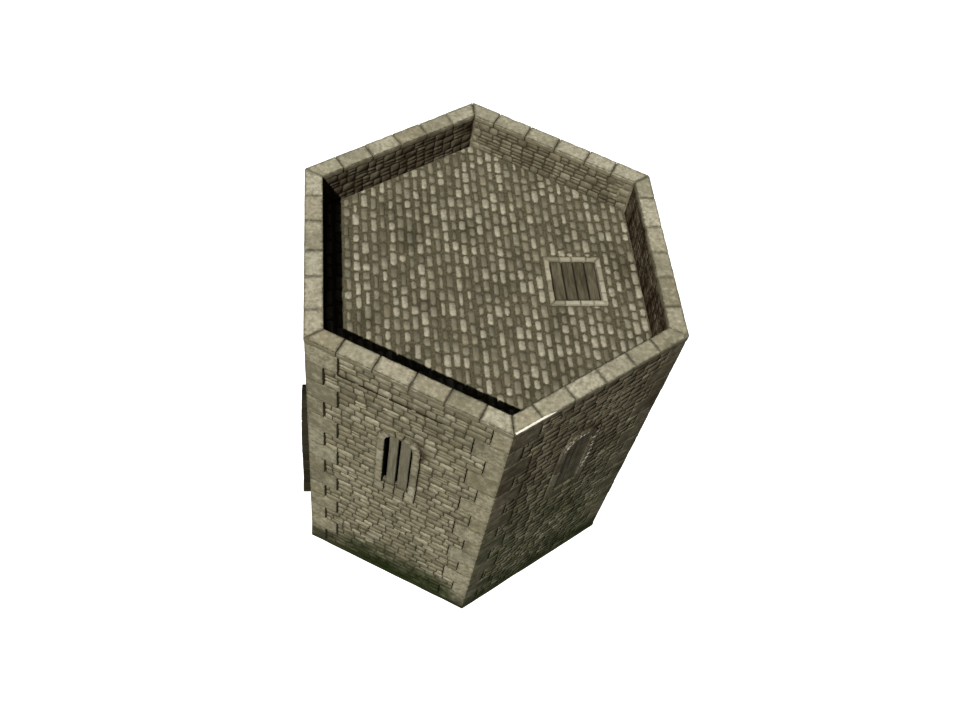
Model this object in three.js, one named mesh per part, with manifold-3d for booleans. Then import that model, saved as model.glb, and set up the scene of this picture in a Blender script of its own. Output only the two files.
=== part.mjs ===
// A hexagonal stone tower for tabletop games: six wall panels between six corner stacks of quoins,
// on a base plate, under a rim of coping. The roof floor lifts out, its trapdoor opens upwards and
// the door in the left wall opens inwards.
//
// Millimetres, +Z up. The origin is the middle of the base plate's underside. One corner points along
// -Y (the front), and the door is in the wall that faces -X (the left).

import * as THREE from 'three';
import { mergeVertices } from 'three/addons/utils/BufferGeometryUtils.js';
import Module from 'manifold-3d';

const wasm = await Module();
wasm.setup();

// ---- driving dimensions -------------------------------------------------------------------------

const towerRadius = 70;          // middle to corner of the coping
const towerHeight = 145;
const wallThickness = 6;         // coping, outside edge to inside edge
const baseThickness = 2;
const baseOverhang = 0.1;
const copingThickness = 2.4;
const panelSetBack = 0.3;        // wall panels stand this far behind the coping's edge
const quoinProud = 0.55;         // quoins stand this far in front of it
const quoinCourses = 14;
const longQuoin = 11.4;          // measured along the wall from the corner
const shortQuoin = 6.3;
const gap = 0.3;                 // between neighbouring pieces
const overcut = 1;               // how far cutters reach past what they cut

const roofDepth = 14.4;          // from the top of the coping down to the roof floor
const deckThickness = 4;
const deckClearance = 0.5;
const ledgeWidth = 4;
const ledgeHeight = 5;
const ledgeLength = 50;

const windowHalfWidth = 5.15;    // the opening inside the surround
const windowSurround = 2.85;
const windowSill = 6;
const windowFoot = 72.3;         // underside of the surround
const windowTop = 115.6;         // top of the surround's arch
const windowOffset = -0.5;       // along the wall, from its middle
const windowProud = 0.8;
const windowRebate = 1.4;        // the board's edge behind the surround
const windowBoard = 2;
const slotWidth = 1.3;
const slotSpacing = 4.5;

const doorHalfWidth = 10.8;
const doorSurround = 4.2;
const doorSpring = 35;           // height at which the arch starts
const doorProud = 3.5;
const doorPlay = 0.6;            // gap all round the leaf
const doorLeafThickness = 2.2;
const doorPlanks = 4;
const plankGap = 0.3;
const strapThickness = 0.6;
const strapWidth = 2.4;
const strapLength = 17;
const strapClearance = 0.05;     // between iron and the face it lies on
const strapHeights = [11, 30];
const hingeOffset = 0.4;         // pintle axis beyond the edge of the doorway
const eyeRadius = 1.0;
const eyeBore = 0.6;
const pintleRadius = 0.45;
const pintleBelow = 1.2;         // how far the pintle runs below and above the strap
const pintleAbove = 0.6;
const pintleFootReach = 2.6;     // the foot that fixes it to the wall, away from the doorway
const pintleFootHeight = 1.4;
const pintleFootPlay = 0.2;      // between the foot and the strap
const ringRadius = 1.9;
const ringWire = 0.35;
const ringHeight = 23;           // middle of the boss that the ring hangs from
const ringFromEdge = 3.2;        // and how far it is from the leaf's edge
const ringStandoff = 0.65;       // middle of the ring's wire, from the leaf's face
const bossRadius = 0.75;
const bossLength = 1.1;
const bossClearance = 0.05;

const trapX = 31.1;              // middle of the trapdoor
const trapY = -1.6;
const trapWidth = 16.6;          // inside the border, across the planks
const trapLength = 17.2;         // inside the border, along the planks
const trapBorder = 1.8;
const trapBorderProud = 0.3;
const trapThickness = 2;
const trapPlay = 0.3;
const trapPlanks = 4;
const trapShelf = 1.2;           // width of the rebate that the leaf rests on
const battenThickness = 1.2;
const battenWidth = 2.4;
const trapPinRadius = 0.45;
const trapPinBore = 0.6;
const trapPinBite = 1.2;         // how far the pin reaches into the border at each end
const trapBoreBeyond = 0.2;      // how much deeper its bore is
const battenFromShelf = 2.6;     // middle of a batten, from the edge of the way through
const battenEndPlay = 0.8;

// ---- sizes that follow --------------------------------------------------------------------------

const toFlat = Math.cos(Math.PI / 6);
const sideLength = towerRadius;
const copingFace = towerRadius * toFlat;
const panelFace = copingFace - panelSetBack;
const quoinFace = copingFace + quoinProud;
const innerFace = copingFace - wallThickness;
const baseFace = copingFace + baseOverhang;
const wallTop = towerHeight - copingThickness;
const quoinHeight = (wallTop - baseThickness) / quoinCourses;
const roofTop = towerHeight - roofDepth;
const roofBottom = roofTop - deckThickness;
const deckFace = innerFace - deckClearance;
const windowSpring = windowTop - windowSurround - windowHalfWidth;

// Outward directions of the walls, in degrees, and whether each has a window.
const walls = [
  { name: 'right', angle: 0, window: true },
  { name: 'rear_right', angle: 60, window: true },
  { name: 'rear_left', angle: 120, window: true },
  { name: 'left', angle: 180, window: false },
  { name: 'front_left', angle: 240, window: true },
  { name: 'front_right', angle: 300, window: true },
];
const corners = [
  { name: 'front_right', angle: -30 },
  { name: 'rear_right', angle: 30 },
  { name: 'rear', angle: 90 },
  { name: 'rear_left', angle: 150 },
  { name: 'front_left', angle: 210 },
  { name: 'front', angle: 270 },
];

const finishes = {
  wall: { color: 0x7d7862, roughness: 0.9, metalness: 0 },
  quoin: { color: 0x9a957d, roughness: 0.9, metalness: 0 },
  coping: { color: 0xb2ac91, roughness: 0.85, metalness: 0 },
  paving: { color: 0x736c5a, roughness: 0.9, metalness: 0 },
  base: { color: 0x2d3020, roughness: 0.95, metalness: 0 },
  oak: { color: 0x554e3a, roughness: 0.8, metalness: 0 },
  iron: { color: 0x33312e, roughness: 0.55, metalness: 0.85 },
};

// ---- helpers ------------------------------------------------------------------------------------

function piece(name, geometry, finish) {
  const mesh = new THREE.Mesh(geometry, new THREE.MeshStandardMaterial(finishes[finish]));
  mesh.name = name;
  return mesh;
}

// A group whose +X axis points outwards at this angle.
function facing(angle, pieces) {
  const group = new THREE.Group();
  group.rotation.z = THREE.MathUtils.degToRad(angle);
  group.add(...pieces);
  return group;
}

// A plan outline, raised from one height to another.
function raise(shape, bottom, top, curveSegments = 12) {
  const options = { depth: top - bottom, bevelEnabled: false, curveSegments };
  return new THREE.ExtrudeGeometry(shape, options).translate(0, 0, bottom);
}

// An upright outline (along the wall, height), thickened outwards from one distance to another.
function thicken(shape, near, far, curveSegments = 12) {
  const options = { depth: far - near, bevelEnabled: false, curveSegments };
  const upright = new THREE.Matrix4().makeBasis(
    new THREE.Vector3(0, 1, 0),
    new THREE.Vector3(0, 0, 1),
    new THREE.Vector3(1, 0, 0),
  );
  return new THREE.ExtrudeGeometry(shape, options).applyMatrix4(upright).translate(near, 0, 0);
}

// A box from its lowest to its highest corner.
function block(low, high) {
  const size = high.map((value, index) => value - low[index]);
  const middle = high.map((value, index) => (value + low[index]) / 2);
  return new THREE.BoxGeometry(...size).translate(...middle);
}

// A round bar along Y (or along Z when upright is true), from one end to the other.
function bar(radius, from, to, upright = false) {
  const cylinder = new THREE.CylinderGeometry(radius, radius, to - from, 16);
  if (upright) {
    cylinder.rotateX(Math.PI / 2);
    return cylinder.translate(0, 0, (from + to) / 2);
  }
  return cylinder.translate(0, (from + to) / 2, 0);
}

function solid(geometry) {
  const bare = geometry.clone();
  bare.deleteAttribute('normal');
  bare.deleteAttribute('uv');
  const merged = mergeVertices(bare);
  return new wasm.Manifold(new wasm.Mesh({
    numProp: 3,
    vertProperties: new Float32Array(merged.attributes.position.array),
    triVerts: new Uint32Array(merged.index.array),
  }));
}

function surface(manifold) {
  const mesh = manifold.getMesh();
  const geometry = new THREE.BufferGeometry();
  geometry.setAttribute('position', new THREE.BufferAttribute(mesh.vertProperties, 3));
  geometry.setIndex(new THREE.BufferAttribute(mesh.triVerts, 1));
  return geometry;
}

function join(geometries) {
  return surface(geometries.map(solid).reduce((whole, part) => whole.add(part)));
}

function cut(geometry, tools) {
  return surface(tools.map(solid).reduce((whole, tool) => whole.subtract(tool), solid(geometry)));
}

// Closed outline through these points.
function outline(points) {
  return new THREE.Shape(points.map(([x, y]) => new THREE.Vector2(x, y)));
}

// A round-headed outline: upright sides from foot to spring, and a half circle above.
function archOutline(halfWidth, foot, spring, Kind = THREE.Shape) {
  const shape = new Kind();
  shape.moveTo(-halfWidth, foot);
  shape.lineTo(halfWidth, foot);
  shape.lineTo(halfWidth, spring);
  shape.absarc(0, spring, halfWidth, 0, Math.PI, false);
  shape.closePath();
  return shape;
}

function rectangle(left, bottom, right, top, Kind = THREE.Shape) {
  const shape = new Kind();
  shape.moveTo(left, bottom);
  shape.lineTo(right, bottom);
  shape.lineTo(right, top);
  shape.lineTo(left, top);
  shape.closePath();
  return shape;
}

// A hexagon with a corner on -Y, sized by the distance from its middle to a side.
function hexagon(face) {
  const radius = face / toFlat;
  const points = corners.map(({ angle }) => {
    const turn = THREE.MathUtils.degToRad(angle);
    return [radius * Math.cos(turn), radius * Math.sin(turn)];
  });
  return outline(points);
}

// ---- walls and corners --------------------------------------------------------------------------

// Each course's quoin is long on one wall and short on the next.
function quoinReach(course, onWallEnd) {
  const isLong = (course % 2 === 0) === onWallEnd;
  return isLong ? longQuoin : shortQuoin;
}

// Toothed outline of a panel: its ends step back from the long and short quoins in turn.
function panelPoints() {
  const ends = [];
  const starts = [];
  for (let course = 0; course < quoinCourses; course += 1) {
    const bottom = baseThickness + course * quoinHeight;
    const end = sideLength / 2 - quoinReach(course, true) - gap;
    const start = -sideLength / 2 + quoinReach(course, false) + gap;
    // Next to a long quoin the panel steps back half a gap beyond the joints, to clear its corners.
    const endShift = quoinReach(course, true) === longQuoin ? gap / 2 : -gap / 2;
    const startShift = quoinReach(course, false) === longQuoin ? gap / 2 : -gap / 2;
    const lowest = course === 0 ? 0 : 1;
    const highest = course === quoinCourses - 1 ? 0 : 1;
    ends.push([end, bottom - endShift * lowest], [end, bottom + quoinHeight + endShift * highest]);
    starts.push(
      [start, bottom - startShift * lowest],
      [start, bottom + quoinHeight + startShift * highest],
    );
  }
  return [...ends, ...starts.reverse()];
}

function windowPanel() {
  const panel = thicken(outline(panelPoints()), innerFace, panelFace);
  const foot = windowFoot + windowSill - windowRebate;
  const opening = archOutline(windowHalfWidth + windowRebate, foot, windowSpring);
  const cutter = thicken(opening, innerFace - overcut, panelFace + overcut);
  return cut(panel, [cutter.translate(0, windowOffset, 0)]);
}

function doorPanel() {
  const shape = outline(panelPoints());
  const doorway = archOutline(doorHalfWidth, 0, doorSpring);
  const cutter = thicken(doorway, innerFace - overcut, panelFace + overcut, 16);
  return cut(thicken(shape, innerFace, panelFace), [cutter]);
}

// One quoin in plan, for a corner on +X: two legs that fold round the corner.
function quoinOutline(reachBefore, reachAfter) {
  const half = Math.PI / 6;
  const along = (face, reach, side) => {
    const slide = -sideLength / 2 + reach;
    const x = face * Math.cos(half) - slide * Math.sin(half);
    const y = face * Math.sin(half) + slide * Math.cos(half);
    return [x, side * y];
  };
  return outline([
    [innerFace / toFlat, 0],
    along(innerFace, reachBefore, -1),
    along(quoinFace, reachBefore, -1),
    [quoinFace / toFlat, 0],
    along(quoinFace, reachAfter, 1),
    along(innerFace, reachAfter, 1),
  ]);
}

function quoinStack() {
  const blocks = [];
  for (let course = 0; course < quoinCourses; course += 1) {
    const bottom = baseThickness + course * quoinHeight;
    const shape = quoinOutline(quoinReach(course, true), quoinReach(course, false));
    blocks.push(raise(shape, bottom, bottom + quoinHeight));
  }
  return join(blocks);
}

// One side of the rim, mitred at both ends with half the gap on each side of the joint.
function copingRail() {
  const halfAt = (face) => face * Math.tan(Math.PI / 6) - gap / 2 / toFlat;
  const shape = outline([
    [innerFace, -halfAt(innerFace)],
    [copingFace, -halfAt(copingFace)],
    [copingFace, halfAt(copingFace)],
    [innerFace, halfAt(innerFace)],
  ]);
  return raise(shape, wallTop, towerHeight);
}

function ledge() {
  const far = innerFace - gap;
  return block(
    [far - ledgeWidth, -ledgeLength / 2, roofBottom - ledgeHeight],
    [far, ledgeLength / 2, roofBottom],
  );
}

// ---- windows ------------------------------------------------------------------------------------

function windowFrame() {
  const shape = archOutline(windowHalfWidth + windowSurround, windowFoot, windowSpring);
  const sillTop = windowFoot + windowSill;
  shape.holes.push(archOutline(windowHalfWidth, sillTop, windowSpring, THREE.Path));
  const back = panelFace + gap / 3;
  return thicken(shape, back, panelFace + windowProud).translate(0, windowOffset, 0);
}

function windowBars() {
  const halfWidth = windowHalfWidth + windowRebate - gap;
  const sillTop = windowFoot + windowSill;
  const back = panelFace - windowBoard - gap;
  const front = panelFace - gap;
  const board = thicken(archOutline(halfWidth, sillTop - windowRebate + gap, windowSpring), back, front);
  const slots = [-1, 0, 1].map((index) => block(
    [back - overcut, index * slotSpacing - slotWidth / 2, sillTop],
    [front + overcut, index * slotSpacing + slotWidth / 2, windowSpring + slotWidth],
  ));
  return cut(board, slots).translate(0, windowOffset, 0);
}

// ---- door ---------------------------------------------------------------------------------------

const surroundFace = copingFace + doorProud;
const leafBack = innerFace;
const leafFront = leafBack + doorLeafThickness;
const leafHalfWidth = doorHalfWidth - doorPlay;
const leafFoot = baseThickness + doorPlay;
const hingeX = innerFace - eyeRadius - 2 * strapClearance;
const hingeY = -doorHalfWidth - hingeOffset;

function doorJamb(side) {
  const inner = side * doorHalfWidth;
  const outer = side * (doorHalfWidth + doorSurround);
  return block(
    [panelFace + gap / 3, Math.min(inner, outer), baseThickness],
    [surroundFace, Math.max(inner, outer), doorSpring],
  );
}

function doorArch() {
  const shape = new THREE.Shape();
  shape.moveTo(doorHalfWidth + doorSurround, doorSpring);
  shape.absarc(0, doorSpring, doorHalfWidth + doorSurround, 0, Math.PI, false);
  shape.lineTo(-doorHalfWidth, doorSpring);
  shape.absarc(0, doorSpring, doorHalfWidth, Math.PI, 0, true);
  shape.closePath();
  return thicken(shape, panelFace + gap / 3, surroundFace, 16);
}

function doorStep() {
  const reach = doorHalfWidth + doorSurround;
  return block([baseFace + gap, -reach, 0], [surroundFace + gap, reach, baseThickness]);
}

// The leaf is a round-headed board, sawn into equal planks.
function doorPlank(index) {
  const width = 2 * leafHalfWidth / doorPlanks;
  const left = -leafHalfWidth + index * width;
  const radius = leafHalfWidth;
  const from = left + plankGap / 2;
  const to = left + width - plankGap / 2;
  const heightAt = (y) => doorSpring + Math.sqrt(Math.max(radius * radius - y * y, 0));
  const steps = 4;
  const points = [[from, leafFoot], [to, leafFoot]];
  for (let step = 0; step <= steps; step += 1) {
    const y = to + (from - to) * step / steps;
    points.push([y, heightAt(y)]);
  }
  return thicken(outline(points), leafBack, leafFront);
}

// Strap hinge on the inside of the leaf, with an eye round the pintle.
function doorStrap(height) {
  const strap = block(
    [leafBack - strapClearance - strapThickness, hingeY, height - strapWidth / 2],
    [leafBack - strapClearance, hingeY + strapLength, height + strapWidth / 2],
  );
  const low = height - strapWidth / 2;
  const high = height + strapWidth / 2;
  const eye = bar(eyeRadius, low, high, true).translate(hingeX, hingeY, 0);
  const bore = bar(eyeBore, low - overcut, high + overcut, true).translate(hingeX, hingeY, 0);
  return cut(join([strap, eye]), [bore]);
}

// Pintle: an upright pin on a foot that is fixed to the inside of the wall.
function doorPintle(height) {
  const low = height - strapWidth / 2;
  const high = height + strapWidth / 2;
  const pin = bar(pintleRadius, low - pintleBelow, high + pintleAbove, true);
  const footTop = low - pintleFootPlay;
  const foot = block(
    [hingeX - pintleRadius, hingeY - pintleFootReach, footTop - pintleFootHeight],
    [innerFace - strapClearance, hingeY + pintleRadius, footTop],
  );
  return join([pin.translate(hingeX, hingeY, 0), foot]);
}

// Ring handle: a boss on the leaf and a ring that hangs against the planks.
function doorRing() {
  const y = leafHalfWidth - ringFromEdge;
  const ring = new THREE.TorusGeometry(ringRadius, ringWire, 8, 24).rotateY(Math.PI / 2);
  const boss = new THREE.CylinderGeometry(bossRadius, bossRadius, bossLength, 16);
  return join([
    ring.translate(leafFront + ringStandoff, y, ringHeight - ringRadius),
    boss.rotateZ(Math.PI / 2).translate(leafFront + bossLength / 2 + bossClearance, y, ringHeight),
  ]);
}

// ---- roof floor and trapdoor --------------------------------------------------------------------

const trapHalfX = trapWidth / 2;
const trapHalfY = trapLength / 2;
const leafTop = roofTop;
const leafBottom = leafTop - trapThickness;
const trapPinX = trapX + trapHalfX - trapPlay - trapThickness / 2;
const trapPinZ = leafTop - trapThickness / 2;

function aroundTrap(reachX, reachY, Kind) {
  return rectangle(trapX - reachX, trapY - reachY, trapX + reachX, trapY + reachY, Kind);
}

// The floor has a well for the trapdoor and its border, with a smaller way through below it.
function roofDeck() {
  const plan = hexagon(deckFace);
  plan.holes.push(aroundTrap(trapHalfX - trapShelf, trapHalfY - trapShelf, THREE.Path));
  const reachX = trapHalfX + trapBorder + gap / 3;
  const reachY = trapHalfY + trapBorder + gap / 3;
  const well = raise(aroundTrap(reachX, reachY), leafBottom - gap / 3, roofTop + overcut);
  return cut(raise(plan, roofBottom, roofTop), [well]);
}

function trapdoorBorder() {
  const plan = aroundTrap(trapHalfX + trapBorder, trapHalfY + trapBorder);
  plan.holes.push(aroundTrap(trapHalfX, trapHalfY, THREE.Path));
  const reach = trapHalfY + trapPinBite + trapBoreBeyond;
  const bore = bar(trapPinBore, -reach, reach).translate(trapPinX, trapY, trapPinZ);
  return cut(raise(plan, leafBottom, roofTop + trapBorderProud), [bore]);
}

// Planks lie along Y. The last one turns on the pin, so its edge is rounded and it is bored.
function trapdoorPlank(index) {
  const usable = trapWidth - 2 * trapPlay;
  const width = usable / trapPlanks;
  const left = trapX - trapHalfX + trapPlay + index * width + plankGap / 2;
  const right = left + width - plankGap;
  const length = trapLength - 2 * trapPlay;
  if (index < trapPlanks - 1) {
    return block(
      [left, trapY - length / 2, leafBottom],
      [right, trapY + length / 2, leafTop],
    );
  }
  const radius = trapThickness / 2;
  const section = new THREE.Shape();
  section.moveTo(left, leafBottom);
  section.lineTo(trapPinX, leafBottom);
  section.absarc(trapPinX, trapPinZ, radius, -Math.PI / 2, Math.PI / 2, false);
  section.lineTo(left, leafTop);
  section.closePath();
  const hole = new THREE.Path();
  hole.absarc(trapPinX, trapPinZ, trapPinBore, 0, 2 * Math.PI, false);
  section.holes.push(hole);
  const options = { depth: length, bevelEnabled: false, curveSegments: 8 };
  const along = new THREE.ExtrudeGeometry(section, options).rotateX(Math.PI / 2);
  return along.translate(0, trapY + length / 2, 0);
}

// Battens under the planks, inside the way through the floor.
function trapdoorBatten(side) {
  const middle = trapY + side * (trapHalfY - trapShelf - battenFromShelf);
  const reach = trapHalfX - trapShelf - battenEndPlay;
  return block(
    [trapX - reach, middle - battenWidth / 2, leafBottom - battenThickness],
    [trapX + reach, middle + battenWidth / 2, leafBottom],
  );
}

function trapdoorPin() {
  const reach = trapHalfY + trapPinBite;
  return bar(trapPinRadius, -reach, reach).translate(trapPinX, trapY, trapPinZ);
}

// ---- the tower ----------------------------------------------------------------------------------

const tower = new THREE.Group();
tower.add(piece('base_plate', raise(hexagon(baseFace), 0, baseThickness), 'base'));

for (const { name, angle, window: hasWindow } of walls) {
  const pieces = [
    piece(`wall_${name}`, hasWindow ? windowPanel() : doorPanel(), 'wall'),
    piece(`coping_${name}`, copingRail(), 'coping'),
    piece(`ledge_${name}`, ledge(), 'oak'),
  ];
  if (hasWindow) {
    pieces.push(
      piece(`window_surround_${name}`, windowFrame(), 'quoin'),
      piece(`window_bars_${name}`, windowBars(), 'oak'),
    );
  }
  tower.add(facing(angle, pieces));
}

for (const { name, angle } of corners) {
  tower.add(facing(angle, [piece(`quoins_${name}`, quoinStack(), 'quoin')]));
}

const door = facing(180, [
  piece('door_jamb_front', doorJamb(1), 'quoin'),
  piece('door_jamb_rear', doorJamb(-1), 'quoin'),
  piece('door_arch', doorArch(), 'quoin'),
  piece('door_step', doorStep(), 'base'),
  piece('door_ring', doorRing(), 'iron'),
]);
for (let index = 0; index < doorPlanks; index += 1) {
  door.add(piece(`door_plank_${index + 1}`, doorPlank(index), 'oak'));
}
strapHeights.forEach((height, index) => {
  const level = ['lower', 'upper'][index];
  door.add(piece(`door_strap_${level}`, doorStrap(height), 'iron'));
  door.add(piece(`door_pintle_${level}`, doorPintle(height), 'iron'));
});
tower.add(door);

tower.add(piece('roof_deck', roofDeck(), 'paving'));
tower.add(piece('trapdoor_border', trapdoorBorder(), 'coping'));
for (let index = 0; index < trapPlanks; index += 1) {
  tower.add(piece(`trapdoor_plank_${index + 1}`, trapdoorPlank(index), 'oak'));
}
tower.add(piece('trapdoor_batten_front', trapdoorBatten(-1), 'oak'));
tower.add(piece('trapdoor_batten_rear', trapdoorBatten(1), 'oak'));
tower.add(piece('trapdoor_hinge_pin', trapdoorPin(), 'iron'));

export default tower;
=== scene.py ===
"""Looks of the hexagonal stone tower: laid stones, dressed blocks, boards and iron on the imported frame.

Metres, in the frame of the CAD model. A wall's own frame has `out` pointing away from the tower,
`along` to the left as seen from inside, and `up`. Every piece rides on the body of the node it stands for.
"""

import math
import random

import bmesh
import bpy
from mathutils import Matrix, Vector, noise


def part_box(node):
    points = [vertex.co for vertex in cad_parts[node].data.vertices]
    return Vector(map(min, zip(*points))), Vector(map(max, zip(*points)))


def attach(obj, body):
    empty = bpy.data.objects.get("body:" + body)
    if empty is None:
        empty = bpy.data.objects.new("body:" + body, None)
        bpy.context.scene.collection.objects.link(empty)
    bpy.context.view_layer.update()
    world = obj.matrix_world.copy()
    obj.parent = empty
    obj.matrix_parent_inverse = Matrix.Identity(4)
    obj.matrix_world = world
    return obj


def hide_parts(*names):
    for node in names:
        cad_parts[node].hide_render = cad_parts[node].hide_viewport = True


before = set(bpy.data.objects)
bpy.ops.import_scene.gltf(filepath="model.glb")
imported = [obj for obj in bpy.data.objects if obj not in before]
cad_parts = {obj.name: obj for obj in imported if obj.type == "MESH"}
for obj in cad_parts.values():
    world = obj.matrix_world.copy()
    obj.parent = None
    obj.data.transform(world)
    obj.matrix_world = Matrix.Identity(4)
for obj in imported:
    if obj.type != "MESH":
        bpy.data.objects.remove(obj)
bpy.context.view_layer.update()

MM = 0.001

# ---- sizes, from the frame ----

WALLS = ("right", "rear_right", "rear_left", "left", "front_left", "front_right")
CORNERS = ("front_right", "rear_right", "rear", "rear_left", "front_left", "front")
WALL_ANGLES = {name: 60 * number for number, name in enumerate(WALLS)}
CORNER_ANGLES = {name: 60 * number - 30 for number, name in enumerate(CORNERS)}

INNER_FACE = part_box("coping_right")[0].x
COPING_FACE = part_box("coping_right")[1].x
WALL_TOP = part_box("coping_right")[0].z
TOWER_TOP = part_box("coping_right")[1].z
PANEL_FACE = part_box("wall_right")[1].x
BASE_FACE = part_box("base_plate")[1].x
BASE_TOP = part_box("base_plate")[1].z
DECK_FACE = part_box("roof_deck")[1].x
DECK_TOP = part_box("roof_deck")[1].z
TAN_HALF_CORNER = math.tan(math.pi / 6)
HALF_SIDE = COPING_FACE * TAN_HALF_CORNER

QUOIN_COURSES = 14
COURSES_PER_QUOIN = 3
QUOIN_HEIGHT = (WALL_TOP - BASE_TOP) / QUOIN_COURSES
COURSE_HEIGHT = QUOIN_HEIGHT / COURSES_PER_QUOIN
LONG_QUOIN = 11.4 * MM
SHORT_QUOIN = 6.3 * MM
COPING_STONES = 6

BRICK = (3.1 * MM, 5.85 * MM)
FLAGSTONE = (7.5 * MM, 11 * MM)

WINDOW_SURROUND = 2.85 * MM
DOOR_SURROUND = 4.2 * MM
TRAP_BORDER = 1.8 * MM
PLANK_GAP = 0.3 * MM
NAILS, NAIL_PITCH, NAIL_RADIUS = 5, 3.3 * MM, 0.55 * MM
FINE = {"chamfer": 0.16 * MM, "wear": 0.14 * MM, "net": 1.6 * MM, "rough": 0.05 * MM}

JOINT = 0.34 * MM            # mortar joint between small stones
RAKED = 0.42 * MM            # raked-out joint between a quoin and the small stones
BED_DEPTH = 0.3 * MM         # how far the mortar lies behind the stones' faces
SPLIT_STONES = 0.14          # share of a wall's stones that are two thin ones instead


# ---- paint ----

VIEW_GAMMA = 0.75            # the picture's gamma, which deepens the shaded faces
SUNLIT = 0.81                # how bright a white face looks where the key light falls on it


def paint(red, green, blue):
    """A colour given as it looks in the key light, in screen values from 0 to 255, as linear light."""
    def linear(value):
        value = (value / 255) ** VIEW_GAMMA * SUNLIT
        return value / 12.92 if value <= 0.04045 else ((value + 0.055) / 1.055) ** 2.4
    return (linear(red), linear(green), linear(blue), 1)


class Paint:
    """Builds one procedural material, node by node."""

    def __init__(self, name, roughness, metallic=0.0, specular=0.3):
        self.material = bpy.data.materials.new(name)
        self.material.use_nodes = True
        self.tree = self.material.node_tree
        self.shader = self.tree.nodes["Principled BSDF"]
        self.shader.inputs["Roughness"].default_value = roughness
        self.shader.inputs["Metallic"].default_value = metallic
        self.shader.inputs["Specular IOR Level"].default_value = specular
        self.position = self.tree.nodes.new("ShaderNodeTexCoord").outputs["Object"]

    def node(self, kind, **settings):
        made = self.tree.nodes.new(kind)
        for key, value in settings.items():
            setattr(made, key, value)
        return made

    def link(self, source, target):
        self.tree.links.new(source, target)

    def feed(self, target, value):
        if isinstance(value, bpy.types.NodeSocket):
            self.link(value, target)
        else:
            target.default_value = value

    def height(self):
        separate = self.node("ShaderNodeSeparateXYZ")
        self.link(self.position, separate.inputs[0])
        return separate.outputs["Z"]

    def attribute(self, name, vector=False):
        made = self.node("ShaderNodeAttribute", attribute_name=name)
        return made.outputs["Vector" if vector else "Fac"]

    def noise(self, feature, detail=3.0, roughness=0.55, place=None, stretch=None, shift=0.0):
        """Noise whose blotches are about this size. stretch lengthens them along each axis."""
        mapping = self.node("ShaderNodeMapping")
        self.link(place or self.position, mapping.inputs["Vector"])
        scale = stretch or (1, 1, 1)
        mapping.inputs["Scale"].default_value = [1 / (feature * s) for s in scale]
        mapping.inputs["Location"].default_value = (shift, shift * 0.7, shift * 1.3)
        made = self.node("ShaderNodeTexNoise")
        made.inputs["Scale"].default_value = 1
        made.inputs["Detail"].default_value = detail
        made.inputs["Roughness"].default_value = roughness
        self.link(mapping.outputs["Vector"], made.inputs["Vector"])
        return made.outputs["Fac"]

    def ramp(self, value, low, high, to_low=0.0, to_high=1.0):
        """value from low..high, clamped, as to_low..to_high."""
        made = self.node("ShaderNodeMapRange")
        self.link(value, made.inputs["Value"])
        for key, number in zip(("From Min", "From Max", "To Min", "To Max"), (low, high, to_low, to_high)):
            made.inputs[key].default_value = number
        return made.outputs["Result"]

    def math(self, operation, first, second=0.0):
        made = self.node("ShaderNodeMath", operation=operation)
        self.feed(made.inputs[0], first)
        self.feed(made.inputs[1], second)
        return made.outputs[0]

    def mix(self, factor, first, second):
        made = self.node("ShaderNodeMix", data_type="RGBA")
        self.feed(made.inputs["Factor"], factor)
        self.feed(made.inputs["A"], first)
        self.feed(made.inputs["B"], second)
        return next(o for o in made.outputs if o.type == "RGBA")

    def tones(self, value, stops):
        """A colour ramp through (position, colour) stops."""
        made = self.node("ShaderNodeValToRGB")
        elements = made.color_ramp.elements
        elements[0].position, elements[0].color = stops[0]
        elements[1].position, elements[1].color = stops[-1]
        for position, color in stops[1:-1]:
            elements.new(position).color = color
        self.link(value, made.inputs["Fac"])
        return made.outputs["Color"]

    def bump(self, height, distance, strength=0.6):
        made = self.node("ShaderNodeBump")
        made.inputs["Strength"].default_value = strength
        made.inputs["Distance"].default_value = distance
        self.link(height, made.inputs["Height"])
        self.link(made.outputs["Normal"], self.shader.inputs["Normal"])

    def finish(self, color, roughness=None):
        self.link(color, self.shader.inputs["Base Color"])
        if roughness is not None:
            self.link(roughness, self.shader.inputs["Roughness"])
        return self.material


GRIME = paint(40, 38, 24)
MOSS = paint(44, 50, 26)


def weathered(made, color, stain, foot, foot_height):
    """Dark stains in patches, and grime and moss that rise from the ground."""
    patches = made.ramp(made.noise(16 * MM, detail=5, shift=3.1), 0.52, 0.7, 0, stain)
    color = made.mix(patches, color, GRIME)
    reach = 0.8 * foot_height
    ragged = made.ramp(made.noise(9 * MM, detail=5, shift=8.3), 0.3, 0.7, -reach, reach)
    height = made.math("ADD", made.height(), ragged)
    damp_and_shade = made.ramp(height, 0, foot_height, foot, 0)
    green = made.ramp(made.noise(6 * MM, detail=4, shift=1.7), 0.4, 0.6)
    return made.mix(damp_and_shade, color, made.mix(green, GRIME, MOSS))


def painted_shade_and_growth(made, color):
    """Painted shade on the sides the key light reaches least and in a band past the windows' arches, with
    growth at the foot of the front left wall: brown higher up, green lower down, as much as the per-point
    attribute gives.
    """
    uneven = made.ramp(made.noise(8 * MM, detail=6, roughness=0.7, shift=6.1), 0.34, 0.66, 0.45, 1.4)
    green = made.ramp(made.height(), 50 * MM, 105 * MM, 1, 0)
    shade_and_growth_colour = made.mix(green, paint(40, 28, 16), paint(27, 36, 13))
    return made.mix(made.math("MULTIPLY", made.attribute("damp_and_shade"), uneven), color, shade_and_growth_colour)


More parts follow.
